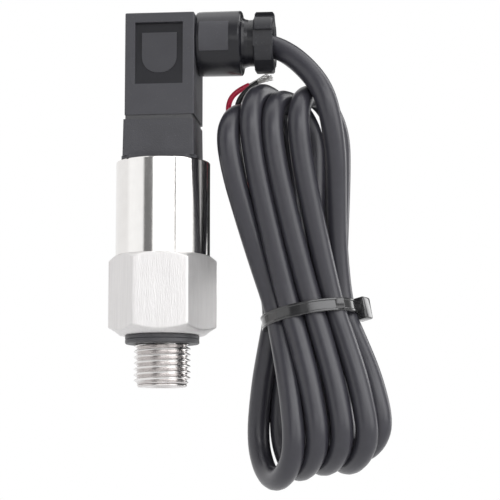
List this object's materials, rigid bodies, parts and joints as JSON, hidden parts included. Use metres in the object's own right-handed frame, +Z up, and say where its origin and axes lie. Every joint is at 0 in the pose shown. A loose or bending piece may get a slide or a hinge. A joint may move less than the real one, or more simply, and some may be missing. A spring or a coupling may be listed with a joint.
{
  "type": "pressure transmitter",
  "caption": "Stainless pressure transmitter with hexagon and threaded stud, square angled connector, cable gland and a cable tied in a hank.",
  "frame": {"origin": "on the stud's axis at the seat plane at the top of the thread, just inside the thread's cylinder", "axes": "+Z up along the stud's axis from the thread to the connector, +X from that axis towards the cable gland"},
  "size_m": [0.0641, 0.028, 0.1123],
  "materials": {
    "brushed_stainless": "satin, fine vertical grain",
    "turned_stainless": "mirror turned",
    "screw_steel": "plated",
    "tinned_metal": "tinned",
    "socket_brass": "plain",
    "seal_rubber": "matt",
    "gasket_rubber": "matt",
    "cell_ceramic": "fired ceramic",
    "board_laminate": "solder resist",
    "chip_epoxy": "matt",
    "trimmer_blue": "gloss",
    "plug_nylon": "satin moulded",
    "nut_nylon": "satin moulded",
    "base_nylon": "fine speckled",
    "cable_jacket": "soft matt",
    "tie_nylon": "gloss",
    "red_insulation": "gloss",
    "black_insulation": "gloss"
  },
  "bodies": {
    "transmitter": {"process_fitting": "brushed_stainless", "seal_ring": "seal_rubber", "cell_o_ring": "seal_rubber", "ceramic_cell": "cell_ceramic", "cell_retaining_ring": "turned_stainless", "cell_pins": "tinned_metal", "circuit_board": "board_laminate", "amplifier_chip": "chip_epoxy", "trim_pots": "trimmer_blue", "board_leads": "black_insulation", "housing_sleeve": "turned_stainless", "base_o_ring": "seal_rubber", "connector_base": "base_nylon", "contact_blade_1": "tinned_metal", "contact_blade_2": "tinned_metal", "contact_blade_3": "tinned_metal", "earth_blade": "tinned_metal", "base_gasket": "gasket_rubber"},
    "angle_plug": {"plug_housing": "plug_nylon", "terminal_insert": "base_nylon", "socket_contact_1": "socket_brass", "socket_contact_2": "socket_brass", "socket_contact_3": "socket_brass", "earth_socket": "socket_brass", "clamp_screws": "screw_steel", "screw_o_ring": "seal_rubber", "inner_core_red": "red_insulation", "inner_core_black": "black_insulation", "cable_grommet": "seal_rubber", "gland_washer": "plug_nylon", "cable_lead": "cable_jacket", "cable_hank": "cable_jacket", "cable_tie": "tie_nylon", "red_core": "red_insulation", "black_core": "black_insulation", "red_strands": "tinned_metal", "black_strands": "tinned_metal"},
    "fixing_screw": {"retaining_screw": "screw_steel"},
    "union_nut": {"gland_nut": "nut_nylon"}
  },
  "joints": [
    {"name": "plug_pull_off", "type": "slide", "parent": "transmitter", "child": "angle_plug", "axis": [0, 0, 1], "range_m": [0, 0.012]},
    {"name": "fixing_screw_turn", "type": "hinge", "parent": "angle_plug", "child": "fixing_screw", "pos_m": [0, 0, 0.0757], "axis": [0, 0, 1], "continuous": true},
    {"name": "union_nut_turn", "type": "hinge", "parent": "angle_plug", "child": "union_nut", "pos_m": [0.0239, 0, 0.07085], "axis": [1, 0, 0], "range_deg": [0, 1440]}
  ]
}
